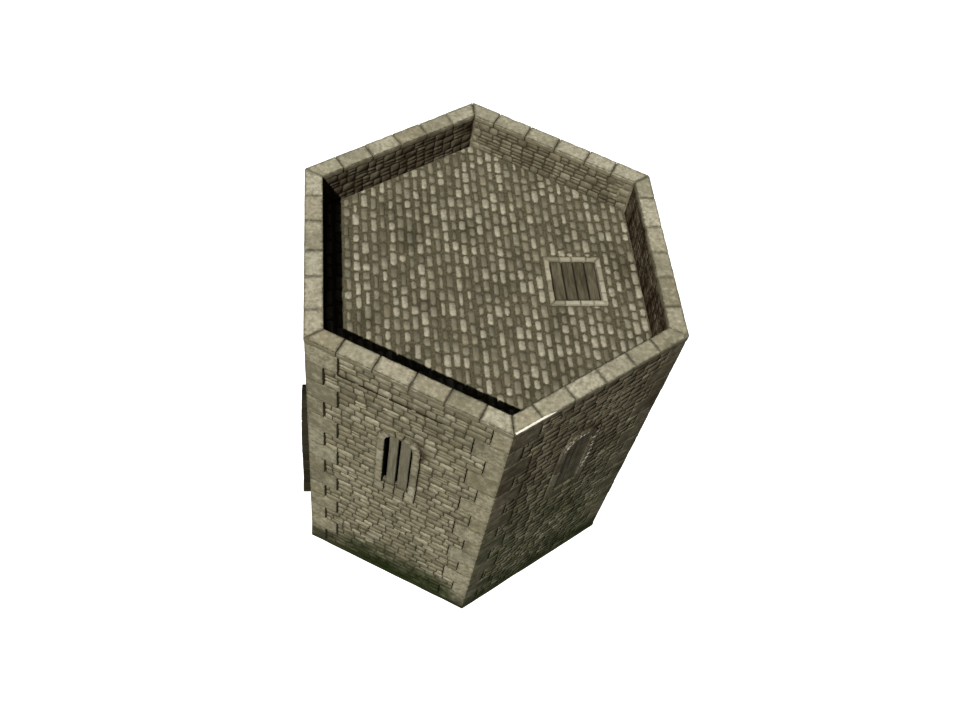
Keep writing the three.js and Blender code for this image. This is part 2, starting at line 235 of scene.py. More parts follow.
def stone_paint(name, *tones, light_share=0.16, rim_dark=0.5, stain=0.45, foot=0.85,
                foot_height=16 * MM, mottle=0.35, patches=4.5 * MM, soiled_below=None):
    """Painted stone in a dark, a middle and a light tone.

    Each block has one tone, brushed lighter in patches and dirty at its edges.
    """
    made = Paint(name, roughness=0.95, specular=0.06)
    dark, middle, light = (paint(*tone) for tone in tones)
    split = 1 - light_share
    stops = [(0.0, dark), (0.3, middle), (split - 0.04, middle), (split + 0.03, light), (1.0, light)]
    color = made.tones(made.attribute("tone"), stops)
    fine = made.noise(1.1 * MM, detail=4, roughness=0.65)
    coarse = made.noise(patches, detail=4, roughness=0.6, shift=5.0)
    color = made.mix(made.ramp(fine, 0.35, 0.68, mottle, 0), color, dark)
    color = made.mix(made.ramp(coarse, 0.5, 0.72, 0, mottle), color, light)
    color = made.mix(made.ramp(coarse, 0.48, 0.3, 0, mottle), color, dark)
    hue = made.attribute("hue")
    color = made.mix(made.ramp(hue, 0.6, 1.0, 0, 0.12), color, paint(118, 100, 66))
    color = made.mix(made.ramp(hue, 0.35, 0.0, 0, 0.12), color, paint(96, 102, 84))
    rim = made.math("MULTIPLY", made.attribute("rim"), made.ramp(fine, 0.3, 0.7, 1.0, 0.6))
    color = made.mix(made.ramp(rim, 0.25, 1.0, 0, rim_dark), color, GRIME)
    if soiled_below is not None:
        ragged = made.math("MULTIPLY", made.math("SUBTRACT", coarse, 0.5), 1.6 * MM)
        height = made.math("ADD", made.height(), ragged)
        edge = 0.15 * MM
        soil = made.ramp(height, soiled_below - edge, soiled_below + edge, 0.85, 0)
        color = made.mix(soil, color, paint(112, 105, 82))
    color = weathered(made, color, stain, foot, foot_height)
    # Painted shade and growth, as much as the per-point attribute gives.
    color = painted_shade_and_growth(made, color)
    made.bump(made.math("ADD", fine, coarse), 0.08 * MM)
    return made.finish(color, made.ramp(coarse, 0.3, 0.7, 0.8, 0.97))


def mortar_paint():
    made = Paint("mortar", roughness=0.95, specular=0.05)
    grit = made.noise(0.8 * MM, detail=4, roughness=0.7)
    color = made.mix(made.ramp(grit, 0.35, 0.7), paint(62, 57, 42), paint(104, 98, 76))
    made.bump(grit, 0.06 * MM)
    # Weathering, then painted shade and growth from the per-point attribute.
    color = painted_shade_and_growth(made, weathered(made, color, 0.5, 0.9, 20 * MM))
    return made.finish(color, made.ramp(grit, 0.3, 0.7, 0.88, 1.0))


def wood_paint(name, *tones, with_shade_and_growth=False):
    """Weathered boards in three tones, with the grain along the third axis of the `grain` attribute."""
    made = Paint(name, roughness=0.8)
    dark, middle, light = (paint(*tone) for tone in tones)
    place = made.attribute("grain", vector=True)
    fibres = made.noise(0.35 * MM, detail=5, roughness=0.7, place=place, stretch=(1, 1, 14))
    bands = made.noise(1.3 * MM, detail=3, place=place, stretch=(1, 1, 9), shift=2.0)
    color = made.mix(made.ramp(bands, 0.35, 0.65), dark, middle)
    color = made.mix(made.ramp(fibres, 0.48, 0.72, 0, 0.75), color, light)
    color = made.mix(made.ramp(made.attribute("tone"), 0, 1, 0.25, 0), color, dark)
    blotches = made.noise(2.6 * MM, detail=4, roughness=0.6, place=place, stretch=(1, 1, 2.5), shift=7.0)
    color = made.mix(made.ramp(blotches, 0.5, 0.68, 0, 0.6), color, dark)
    color = made.mix(made.ramp(made.attribute("rim"), 0.4, 1.0, 0, 0.55), color, GRIME)
    # Boards outdoors get the painted shade and growth too.
    if with_shade_and_growth:
        color = painted_shade_and_growth(made, color)
    made.bump(fibres, 0.1 * MM, 0.8)
    return made.finish(color, made.ramp(fibres, 0.3, 0.7, 0.9, 0.7))


def iron_paint():
    made = Paint("iron", roughness=0.55, metallic=0.85, specular=0.5)
    pits = made.noise(0.5 * MM, detail=5, roughness=0.7)
    rust = made.noise(2.2 * MM, detail=5, shift=4.0)
    color = made.mix(made.ramp(pits, 0.35, 0.7), paint(42, 40, 38), paint(88, 84, 78))
    color = made.mix(made.ramp(rust, 0.52, 0.66, 0, 0.75), color, paint(92, 58, 34))
    made.bump(pits, 0.05 * MM)
    return made.finish(color, made.ramp(rust, 0.4, 0.65, 0.42, 0.85))


PAINTS = {
    "wall": stone_paint(
        "wall_stone", (100, 94, 74), (128, 121, 98), (162, 155, 130), light_share=0.2, rim_dark=0.2,
        stain=0.35, foot=0.85, foot_height=22 * MM, mottle=0.55, patches=2.6 * MM,
    ),
    "quoin": stone_paint(
        "quoin_stone", (109, 103, 81), (143, 136, 111), (169, 162, 136), light_share=0.38, rim_dark=0.4,
        stain=0.4, foot_height=17 * MM, mottle=0.85, patches=3.0 * MM,
    ),
    "frame": stone_paint(
        "window_frame", (112, 105, 83), (150, 143, 118), (178, 171, 147), light_share=0.35, rim_dark=0.55,
        stain=0.25, foot=0, mottle=0.5, patches=2.4 * MM,
    ),
    "raked": stone_paint(
        "raked_joint", (30, 26, 17), (44, 39, 26), (60, 54, 38), stain=0.2, foot=0.3, mottle=0.4,
    ),
    "coping": stone_paint(
        "coping_stone", (122, 115, 92), (158, 152, 129), (178, 172, 150), light_share=0.3, rim_dark=0.85,
        stain=0.35, foot=0, mottle=0.75, patches=1.8 * MM, soiled_below=TOWER_TOP - 0.75 * MM,
    ),
    "border": stone_paint(
        "trapdoor_border", (126, 119, 97), (156, 149, 125), (174, 167, 144), light_share=0.25, rim_dark=0.4,
        stain=0.2, foot=0, mottle=0.25,
    ),
    "door_stone": stone_paint(
        "door_stone", (26, 23, 15), (40, 36, 26), (55, 50, 37), light_share=0.2, stain=0.3, foot=0.6,
        foot_height=9 * MM, mottle=0.4,
    ),
    # Pale bare stone, for worn chips and for a painted highlight on the coping's edge.
    "bare": stone_paint(
        "bare_edge", (206, 201, 182), (235, 230, 212), (240, 236, 222), rim_dark=0.1, stain=0, foot=0,
        mottle=0.15,
    ),
    "paving": stone_paint(
        "paving", (94, 88, 71), (130, 123, 103), (168, 161, 139), light_share=0.38, rim_dark=0.85,
        stain=0.25, foot=0, mottle=0.45, patches=3 * MM,
    ),
    "flagstone": stone_paint("flagstone", (74, 70, 54), (104, 98, 78), (136, 130, 108), foot=0.3),
    "base": stone_paint("base", (34, 34, 20), (46, 47, 30), (62, 60, 42), foot=0.4),
    "mortar": mortar_paint(),
    "oak": wood_paint("oak", (66, 58, 42), (104, 96, 76), (134, 126, 102)),
    "trapdoor_oak": wood_paint("trapdoor_oak", (54, 48, 32), (96, 90, 70), (120, 113, 92)),
    "window_oak": wood_paint("window_oak", (92, 87, 68), (122, 117, 96), (142, 137, 114), with_shade_and_growth=True),
    "iron": iron_paint(),
}


# ---- gathering solids into one mesh ----

SHADE_OUTSIDE = 0.5           # painted shade on the outside of the front right wall
# Painted shade on the inner faces of the walls, one amount for each wall.
SHADE_INSIDE = {
    "right": 0.82, "rear_right": 0.28, "rear_left": 0.68,
    "left": 0.5, "front_left": 0.4, "front_right": 0.5,
}
ARCH_SHADOW = 0.75                  # painted shadow past the right shoulder of a window's arch
ARCH_SHADOW_WIDTH = 1.9 * MM


def foot_growth(along, up):
    """Growth that creeps up the front left wall from the ground, highest right of its middle."""
    middle, half_width, height, most = 5 * MM, 26 * MM, 31 * MM, 0.75
    spread = 1 - ((along - middle) / half_width) ** 2
    if spread <= 0:
        return 0.0
    return min(most, max(0.0, 1.15 * (1 - up / (height * math.sqrt(spread)))))


def damp_and_shade_at(x, y, z):
    """How much painted shade and growth a place on the walls gets: painted shade on the outside of the
    front right wall, on the inner faces and in a band past each window's arch, growth at the foot of the
    front left wall. The coping and the roof floor get none.
    """
    turn = math.degrees(math.atan2(y, x)) % 360
    name = min(WALLS, key=lambda wall: abs((turn - WALL_ANGLES[wall] + 180) % 360 - 180))
    angle = math.radians(WALL_ANGLES[name])
    reach = x * math.cos(angle) + y * math.sin(angle)
    if z > WALL_TOP + 0.2 * MM or reach < INNER_FACE - 0.5 * MM:
        return 0.0
    if reach <= (INNER_FACE + PANEL_FACE) / 2:
        return SHADE_INSIDE[name]
    along = y * math.cos(angle) - x * math.sin(angle)
    if name == "front_right":
        found = SHADE_OUTSIDE
    else:
        found = foot_growth(along, z) if name == "front_left" else 0.0
    # Painted shadow in a band past the right shoulder of the window's arch, on every wall but the left.
    side, over = along - WINDOW["centre"], z - WINDOW["spring"]
    past_arch = math.hypot(side, over) - WINDOW["outer"]
    in_arch_shadow = 0.1 * MM < past_arch < ARCH_SHADOW_WIDTH and -30 < math.degrees(math.atan2(over, side)) < 85
    return max(found, ARCH_SHADOW) if in_arch_shadow and name != "left" else found


class Pile:
    """Gathers closed solids into one mesh, with a rim, tone and hue value for the paint at each point."""

    def __init__(self, name, paints):
        self.name = name
        self.paints = paints
        self.points, self.faces, self.kinds = [], [], []
        self.rim, self.tone, self.hue, self.grain = [], [], [], []

    def add(self, points, faces, rim, tone=0.5, hue=0.5, kind=0, grain=None):
        first = len(self.points)
        self.points += [tuple(point) for point in points]
        self.faces += [[first + index for index in face] for face in faces]
        self.kinds += [kind] * len(faces)
        self.rim += rim
        self.tone += [tone] * len(points)
        self.hue += [hue] * len(points)
        self.grain += grain or self.points[first:]

    def build(self, body, slot, *nodes, sharp=40):
        """Makes the object, and has it stand for these nodes."""
        mesh = bpy.data.meshes.new(self.name)
        mesh.from_pydata(self.points, [], self.faces)
        for name in self.paints:
            mesh.materials.append(PAINTS[name])
        mesh.polygons.foreach_set("material_index", self.kinds)
        # How much painted shade and growth each point gets.
        damp_and_shade = [damp_and_shade_at(*point) for point in self.points]
        for name, values in (("rim", self.rim), ("tone", self.tone), ("hue", self.hue), ("damp_and_shade", damp_and_shade)):
            mesh.attributes.new(name, "FLOAT", "POINT").data.foreach_set("value", values)
        flat = [value for point in self.grain for value in point]
        mesh.attributes.new("grain", "FLOAT_VECTOR", "POINT").data.foreach_set("vector", flat)
        outward = bmesh.new()
        outward.from_mesh(mesh)
        bmesh.ops.recalc_face_normals(outward, faces=outward.faces)
        outward.to_mesh(mesh)
        outward.free()
        mesh.shade_smooth()
        mesh.set_sharp_from_angle(angle=math.radians(sharp))
        made = bpy.data.objects.new(self.name, mesh)
        bpy.context.scene.collection.objects.link(made)
        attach(made, body)
        if nodes:
            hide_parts(*nodes)
        return made


def skin(count, rings, first=0):
    """The faces round a stack of rings of this many points."""
    return [
        [low + side, low + (side + 1) % count, low + count + (side + 1) % count, low + count + side]
        for low in range(first, first + (rings - 1) * count, count) for side in range(count)
    ]


def on_wall(angle):
    """Places (along, up, out) of the wall that faces this way."""
    turn = Matrix.Rotation(math.radians(angle), 3, "Z")
    return lambda along, up, out: turn @ Vector((out, along, up))


def random_place(rng):
    """Somewhere far off in the noise, so that no two solids look alike."""
    return Vector([rng.uniform(-50, 50) for _ in range(3)])


def in_plan(angle):
    """Places (x, y, up) of a plan that is turned by this angle."""
    turn = Matrix.Rotation(math.radians(angle), 3, "Z")
    return lambda x, y, up: turn @ Vector((x, y, up))


# ---- small laid stones ----

def corners_cut(quad, cut, rng):
    """Takes each corner of a polygon off, unevenly."""
    found = []
    for index, corner in enumerate(quad):
        here = Vector(corner)
        for other in (quad[index - 1], quad[(index + 1) % len(quad)]):
            side = Vector(other) - here
            length = side.length
            if length > 1e-9:
                found.append(here + side / length * min(cut * rng.uniform(0.5, 1.4), length * 0.4))
    return found


def pulled_in(point, middle, inset):
    """The point, moved towards the middle by inset along each axis."""
    moved = []
    for p, m in zip(point, middle):
        reach = abs(p - m)
        moved.append(math.copysign(max(reach - inset, 0.1 * reach), p - m) + m)
    return Vector(moved)


def laid_stone(pile, quad, back, front, place, rng, inward=False, rounding=0.16 * MM, worn=0.55 * MM):
    """A small stone: a cushion with worn corners that stands out of the mortar."""
    outline = corners_cut(quad, worn, rng)
    middle = sum(outline, Vector((0, 0))) / len(outline)
    step = -1 if inward else 1
    tilt = [rng.uniform(-0.03, 0.03) for _ in range(2)]
    rings = [(back, 0, 1.0), (front - step * rounding, 0, 1.0), (front, rounding * 1.1, 0.45)]
    points, rim = [], []
    for level, (depth, inset, edge) in enumerate(rings):
        for point in outline:
            spot = pulled_in(point, middle, inset)
            lean = (tilt[0] * (spot.x - middle.x) + tilt[1] * (spot.y - middle.y)) if level else 0
            points.append(place(spot.x, spot.y, depth + lean))
            rim.append(edge)
    points.append(place(middle.x, middle.y, front + step * rng.uniform(0.0, 0.12) * MM))
    rim.append(0.0)
    count = len(outline)
    top = (len(rings) - 1) * count
    faces = [list(range(count - 1, -1, -1))] + skin(count, len(rings))
    faces += [[top + index, top + (index + 1) % count, len(points) - 1] for index in range(count)]
    pile.add(points, faces, rim, rng.random(), rng.random())


def arch_half_width(up, half, foot, spring):
    """Half the width of a round-headed opening at this height, or 0 above and below it."""
    if up < foot or up >= spring + half:
        return 0.0
    return half if up <= spring else math.sqrt(half * half - (up - spring) ** 2)


def course_edges(low, high, rng, shortest, longest):
    """Upright joints of one course, from one end to the other. An end is (at the bottom, at the top)."""
    first, last = sum(low) / 2, sum(high) / 2
    edges = [low]
    spot = first + rng.uniform(shortest * 0.5, longest)
    while spot < last - shortest * 0.5:
        slant = rng.uniform(-0.12, 0.12) * MM
        edges.append((spot + slant, spot - slant))
        spot += rng.uniform(shortest, longest)
    return edges + [high]


def lay_course(pile, low, high, bottom, top, lay, rng, split, longest, shortest=3.0 * MM):
    """One course between two ends. Some of its stones are split into two thin ones."""
    edges = course_edges(low, high, rng, shortest, longest)
    half = JOINT / 2
    for left, right in zip(edges, edges[1:]):
        widths = right[0] - left[0], right[1] - left[1]
        if min(widths) < 2 * JOINT and max(widths) < 1.2 * MM:
            continue
        starts = [place + half for place in left]
        ends = [max(place - half, start + 0.05 * MM) for place, start in zip(right, starts)]
        foot, head = bottom + half, top - half
        quad = [(starts[0], foot), (ends[0], foot), (ends[1], head), (starts[1], head)]
        if rng.random() < split and ends[0] - starts[0] > 2 * MM:
            level = (bottom + top) / 2 + rng.uniform(-0.3, 0.3) * MM
            under, over = level - half * 0.7, level + half * 0.7
            lay(pile, quad[:2] + [(ends[1], under), (starts[1], under)], rng)
            lay(pile, [(starts[0], over), (ends[0], over)] + quad[2:], rng)
        else:
            lay(pile, quad, rng)


def lay_wall(pile, ends, opening, lay, rng, split=SPLIT_STONES, longest=6.6 * MM):
    """Courses from the base to the coping, round an arched opening: (centre, half width, foot, spring)."""
    courses = QUOIN_COURSES * COURSES_PER_QUOIN
    centre, *arch = opening
    inside = 0.1 * COURSE_HEIGHT
    uneven = [
        rng.uniform(-0.4, 0.4) * MM if course % COURSES_PER_QUOIN else 0.0 for course in range(courses + 1)
    ]
    for course in range(courses):
        bottom = BASE_TOP + course * COURSE_HEIGHT + uneven[course]
        top = BASE_TOP + (course + 1) * COURSE_HEIGHT + uneven[course + 1]
        start, end = ends(course)
        low_half = arch_half_width(bottom + inside, *arch)
        high_half = arch_half_width(top - inside, *arch)
        stretches = [((start, start), (end, end))]
        if low_half or high_half:
            left = centre - low_half, centre - high_half
            right = centre + low_half, centre + high_half
            stretches = [((start, start), left), (right, (end, end))]
        for low, high in stretches:
            lay_course(pile, low, high, bottom, top, lay, rng, split, longest)


def squeezed_node(pile, node, angle, low_face, high_face, kind):
    """The node's own solid, its two faces moved to low_face and high_face, as the mortar behind stones."""
    turn = Matrix.Rotation(math.radians(-angle), 3, "Z")
    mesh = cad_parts[node].data
    local = [turn @ v.co for v in mesh.vertices]
    middle = (min(p.x for p in local) + max(p.x for p in local)) / 2
    back = Matrix.Rotation(math.radians(angle), 3, "Z")
    points = [back @ Vector((high_face if p.x > middle else low_face, p.y, p.z)) for p in local]
    faces = [list(polygon.vertices) for polygon in mesh.polygons]
    pile.add(points, faces, [0.0] * len(points), kind=kind)


# ---- dressed blocks ----

def distance_to_outline(spot, outline):
    found = []
    for index, end in enumerate(outline):
        start = Vector(outline[index - 1])
        side = Vector(end) - start
        share = max(0, min(1, (spot - start).dot(side) / side.length_squared))
        found.append((spot - start - side * share).length)
    return min(found)


def dressed(pile, outline, low, high, place, rng, chamfer=0.3 * MM, wear=0.35 * MM, net=2.0 * MM,
            rough=0.08 * MM, rim_width=0.8 * MM):
    """A hewn block: an outline raised from low to high, with chamfered, chipped edges and uneven faces."""
    block = bmesh.new()
    bottom = [block.verts.new((a, b, low)) for a, b in outline]
    top = [block.verts.new((a, b, high)) for a, b in outline]
    block.faces.new(bottom[::-1])
    block.faces.new(top)
    for index in range(len(outline)):
        block.faces.new((bottom[index - 1], bottom[index], top[index], top[index - 1]))
    bmesh.ops.bevel(block, geom=block.edges[:], offset=chamfer, segments=2, profile=0.6, affect="EDGES")
    bmesh.ops.triangulate(block, faces=block.faces[:])
    for _ in range(4):
        long_edges = [edge for edge in block.edges if edge.calc_length() > net]
        if not long_edges:
            break
        bmesh.ops.subdivide_edges(block, edges=long_edges, cuts=1)
        bmesh.ops.triangulate(block, faces=[face for face in block.faces if len(face.verts) > 3])
    seed = random_place(rng)
    sums = (sum(spots) / len(outline) for spots in zip(*outline))
    middle = Vector((*sums, (low + high) / 2))
    rim = []
    for vertex in block.verts:
        here = vertex.co.copy()
        ends = min(here.z - low, high - here.z)
        flat = Vector((here.x, here.y))
        corner = min((flat - Vector(c)).length for c in outline)
        side = distance_to_outline(flat, outline)
        edge = max(ends, side) if min(ends, side) < chamfer * 1.2 else 1.0
        if side < chamfer * 1.2:
            edge = min(edge, max(corner, side))
        nearness = max(0.0, 1 - edge / rim_width)
        chip = max(0.0, noise.noise(here / (2.6 * MM) + seed) - 0.12) * nearness
        shift = noise.noise_vector(here / (2.2 * MM) + seed) * rough
        inward = middle - here
        here += shift
        if inward.length > 1e-9:
            here += inward.normalized() * chip * wear * 3
        vertex.co = here
        rim.append(min(1.0, nearness * 1.3))
    block.verts.index_update()
    points = [place(*vertex.co) for vertex in block.verts]
    faces = [[vertex.index for vertex in face.verts] for face in block.faces]
    block.free()
    pile.add(points, faces, rim, rng.random(), rng.random())


def prism(pile, outline, low, high, place, kind=0):
    """A plain block behind the stones, never seen whole."""
    count = len(outline)
    points = [place(a, b, level) for level in (low, high) for a, b in outline]
    faces = [list(range(count - 1, -1, -1)), list(range(count, 2 * count))] + skin(count, 2)
    pile.add(points, faces, [0.0] * len(points), kind=kind)


# ---- boards ----

def board_section(width, thickness, across=7, down=3):
    """Points round a board's section, as (across, through), counter-clockwise from its lower left."""
    half, deep = width / 2, thickness / 2
    soft = min(0.18 * MM, deep * 0.3)
    low = [(-half + soft + 2 * (half - soft) * i / across, -deep) for i in range(across + 1)]
    right = [(half, -deep + soft + 2 * (deep - soft) * i / down) for i in range(down + 1)]
    high = [(-a, deep) for a, _ in low]
    left = [(-half, -b) for _, b in right]
    return low + right + high + left


def board(pile, width, thickness, length_at, place, rng, steps, groove=0.14 * MM):
    """A grained board. place maps (across, through, along), and length_at(across) says where it ends."""
    section = board_section(width, thickness)
    seed = random_place(rng)
    points, rim, grain = [], [], []
    for step in range(steps + 1):
        for across, through in section:
            end = length_at(across)
            along = end * step / steps
            split = noise.noise(Vector((across / (0.8 * MM), through / (2 * MM), along / (9 * MM))) + seed)
            depth = groove * max(0.0, split) * 2.2
            sunk = through - math.copysign(min(depth, abs(through) * 0.5), through)
            wave = noise.noise(Vector((along / (7 * MM), 3.0, 0.0)) + seed) * 0.05 * MM
            if abs(across) >= width * 0.49:
                wave = 0.0
            points.append(place(across * 0.99 + wave, sunk, along))
            near_side = 1 - (width / 2 - abs(across)) / (0.7 * MM)
            near_end = 1 - min(along, end - along) / (0.8 * MM)
            rim.append(max(0.0, min(1.0, near_side), min(1.0, near_end)))
            grain.append((across + seed.x * MM, through + seed.y * MM, along))
    count = len(section)
    faces = [list(range(count - 1, -1, -1))] + skin(count, steps + 1)
    faces.append([steps * count + index for index in range(count)])
    pile.add(points, faces, rim, rng.random(), rng.random(), grain=grain)


def constant(length):
    """The length of a board with straight ends."""
    return lambda across: length


def rounded_board(pile, width, thickness, length_at, place, rng, steps):
    """A board whose far side is a half round, so that it can turn on its pin."""
    radius = thickness / 2

    def bent(across, through, along):
        over = across - (width / 2 - radius)
        if over > 0:
            limit = math.sqrt(max(radius * radius - over * over, (0.12 * radius) ** 2))
            through = max(-limit, min(limit, through))
        return place(across, through, along)
    board(pile, width, thickness, length_at, bent, rng, steps)


# ---- walls ----

def rake_joints(pile, place, rng):
    """Dark slits where the upright joints beside the left quoins are raked out."""
    for quoin in range(QUOIN_COURSES):
        bottom = BASE_TOP + quoin * QUOIN_HEIGHT + rng.uniform(0.8, 1.8) * MM
        top = BASE_TOP + (quoin + 1) * QUOIN_HEIGHT - rng.uniform(1.0, 2.6) * MM
        edge = -HALF_SIDE + quoin_reach(quoin, before=False)
        near, far = edge + 0.02 * MM, edge + RAKED + JOINT / 2 + 0.1 * MM
        inset = (far - near) * rng.uniform(0.05, 0.25)
        slant = 0.3 * MM
        outline = [(near, bottom), (far, bottom + slant), (far - inset, top), (near + inset, top - slant)]
        prism(pile, outline, PANEL_FACE - 1 * MM, PANEL_FACE - 0.04 * MM, place, kind=2)


def rake_bed(pile, place, rng):
    """A long bed joint, raked out in stretches, one quoin below the coping."""
    level = WALL_TOP - QUOIN_HEIGHT
    start = -HALF_SIDE + LONG_QUOIN
    while start < HALF_SIDE - 2 * LONG_QUOIN:
        end = start + rng.uniform(5, 11) * MM
        thick = rng.uniform(0.3, 0.5) * MM
        low, high = level - thick * 0.6, level + thick * 0.7
        outline = [(start, level - thick), (end, low), (end, high), (start, level + thick)]
        prism(pile, outline, PANEL_FACE - 1 * MM, PANEL_FACE + 0.02 * MM, place, kind=2)
        start = end + rng.uniform(0.6, 2.4) * MM


def quoin_reach(course, before):
    """How far a quoin reaches along the wall before its corner, or along the wall after it."""
    return LONG_QUOIN if (course % 2 == 0) == before else SHORT_QUOIN


def outer_ends(course):
    """Both ends of a course on the outside, between the quoins."""
    quoin = course // COURSES_PER_QUOIN
    start = -HALF_SIDE + quoin_reach(quoin, before=False) + RAKED
    return start, HALF_SIDE - quoin_reach(quoin, before=True) - 0.15 * MM


def inner_ends(_course):
    """Both ends of a course on the inside, where the walls meet."""
    reach = INNER_FACE * TAN_HALF_CORNER - 0.25 * MM
    return -reach, reach


def window_measures():
    low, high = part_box("window_surround_right")
    board_low, board_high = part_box("window_bars_right")
    half = (high.y - low.y) / 2
    return {
        "centre": (high.y + low.y) / 2, "outer": half, "inner": half - WINDOW_SURROUND,
        "foot": low.z, "spring": high.z - half, "face": high.x,
        "board_half": (board_high.y - board_low.y) / 2, "board_front": board_high.x,
        "board_foot": board_low.z,
    }


def door_measures():
    low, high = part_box("door_arch")
    half = (high.y - low.y) / 2
    return {
        "centre": 0.0, "outer": half, "inner": half - DOOR_SURROUND, "foot": BASE_TOP, "spring": low.z,
        "face": -low.x, "back": -high.x,
    }


WINDOW = window_measures()
DOOR = door_measures()


def make_wall(name, angle, seed):
    """The stones on both faces of a wall, and the mortar between them."""
    rng = random.Random(seed)
    pile = Pile(f"stonework_{name}", ["wall", "mortar", "raked"])
    squeezed_node(pile, f"wall_{name}", angle, INNER_FACE + BED_DEPTH, PANEL_FACE - BED_DEPTH, kind=1)
    place = on_wall(angle)

    def lay_outside(pile, quad, rng):
        front = PANEL_FACE + rng.uniform(-0.1, 0.08) * MM
        laid_stone(pile, quad, PANEL_FACE - BED_DEPTH - 0.3 * MM, front, place, rng)

    def lay_inside(pile, quad, rng):
        front = INNER_FACE + rng.uniform(-0.02, 0.2) * MM
        laid_stone(pile, quad, INNER_FACE + BED_DEPTH + 0.3 * MM, front, place, rng, inward=True)

    if name == "left":
        outside = DOOR["centre"], DOOR["outer"] + 0.1 * MM, DOOR["foot"], DOOR["spring"]
        inside = DOOR["centre"], DOOR["inner"] + 0.1 * MM, DOOR["foot"], DOOR["spring"]
    else:
        centre, spring = WINDOW["centre"], WINDOW["spring"]
        outside = centre, WINDOW["outer"] + 0.05 * MM, WINDOW["foot"], spring
        inside = centre, WINDOW["board_half"] + 0.4 * MM, WINDOW["board_foot"], spring
    rake_joints(pile, place, rng)
    if name == "front_left":
        rake_bed(pile, place, random.Random(seed + 50))
    lay_wall(pile, outer_ends, outside, lay_outside, rng)
    lay_wall(pile, inner_ends, inside, lay_inside, rng, split=0.6, longest=5.0 * MM)
    pile.build("tower", "wall_stone", f"wall_{name}")


def quoin_outline(reaches, back, front):
    """One quoin in plan, for a corner on +X: two legs that fold round the corner."""
    before, after = reaches
    half = math.pi / 6

    def leg(face, reach, side):
        slide = -HALF_SIDE + reach
        x = face * math.cos(half) - slide * math.sin(half)
        return x, side * (face * math.sin(half) + slide * math.cos(half))
    to_flat = math.cos(half)
    return [
        (back / to_flat, 0), leg(back, before, -1), leg(front, before, -1),
        (front / to_flat, 0), leg(front, after, 1), leg(back, after, 1),
    ]


def make_quoins(name, angle, seed):
    """A stack of corner stones, long and short in turn."""
    rng = random.Random(seed)
    pile = Pile(f"quoin_stones_{name}", ["quoin", "mortar"])
    place = in_plan(angle)
    for course in range(QUOIN_COURSES):
        bottom = BASE_TOP + course * QUOIN_HEIGHT
        reaches = quoin_reach(course, before=True), quoin_reach(course, before=False)
        front = PANEL_FACE + rng.uniform(0.1, 0.2) * MM
        outline = quoin_outline(reaches, INNER_FACE + BED_DEPTH, front)
        low, high = bottom + 0.12 * MM, bottom + QUOIN_HEIGHT - 0.12 * MM
        dressed(pile, outline, low, high, place, rng, chamfer=0.22 * MM, wear=0.12 * MM, rough=0.05 * MM,
                rim_width=0.6 * MM)
    reach = SHORT_QUOIN - 0.3 * MM
    bed = quoin_outline((reach, reach), INNER_FACE + BED_DEPTH + 0.2 * MM, PANEL_FACE - BED_DEPTH)
    prism(pile, bed, BASE_TOP, WALL_TOP, place, kind=1)
    pile.build("tower", "quoin_stone", f"quoins_{name}")


def mitred_row(inner, outer, reach, stones, unevenness, joint, rng):
    """Outlines of a row of stones whose ends are mitred. reach(face) is half the row's length there."""
    shares = [-1 + 2 * (i + rng.uniform(-unevenness, unevenness)) / stones for i in range(1, stones)]
    cuts = [-1.0] + shares + [1.0]

    def end(share, face, side):
        return share * reach(face if abs(share) == 1 else outer) + side * joint
    for left, right in zip(cuts, cuts[1:]):
        yield [
            (inner, end(left, inner, 1)), (outer, end(left, outer, 1)),
            (outer, end(right, outer, -1)), (inner, end(right, inner, -1)),
        ]


def make_coping(name, angle, seed):
    """Six stones along one side, mitred at the corners."""
    rng = random.Random(seed)
    pile = Pile(f"coping_stones_{name}", ["coping", "mortar"])
    place = in_plan(angle)

    def reach(face):
        return face * TAN_HALF_CORNER
    inner, outer = INNER_FACE + 0.35 * MM, COPING_FACE - 0.35 * MM
    bed = [(inner, -reach(inner)), (outer, -reach(outer)), (outer, reach(outer)), (inner, reach(inner))]
    prism(pile, bed, WALL_TOP - 0.1 * MM, TOWER_TOP - 0.6 * MM, place, kind=1)
    row = mitred_row(INNER_FACE, COPING_FACE, reach, COPING_STONES, 0.08, 0.11 * MM, rng)
    for outline in row:
        high = TOWER_TOP - 0.05 * MM - rng.uniform(0.0, 0.14) * MM
        dressed(pile, outline, WALL_TOP - 0.05 * MM, high, place, rng, chamfer=0.2 * MM, wear=0.16 * MM,
                rough=0.05 * MM, rim_width=0.5 * MM)
    pile.build("tower", "coping_stone", f"coping_{name}")


# ---- windows and door ----

def box_outline(left, bottom, right, top):
    return [(left, bottom), (right, bottom), (right, top), (left, top)]


def wedge(inner, outer, centre, spring, start, end, steps=3):
    """A voussoir: the ring between two radii, from one angle to another."""
    turn = [math.radians(start + (end - start) * i / steps) for i in range(steps + 1)]
    outside = [(centre + outer * math.cos(t), spring + outer * math.sin(t)) for t in turn]
    inside = [(centre + inner * math.cos(t), spring + inner * math.sin(t)) for t in reversed(turn)]
    return outside + inside


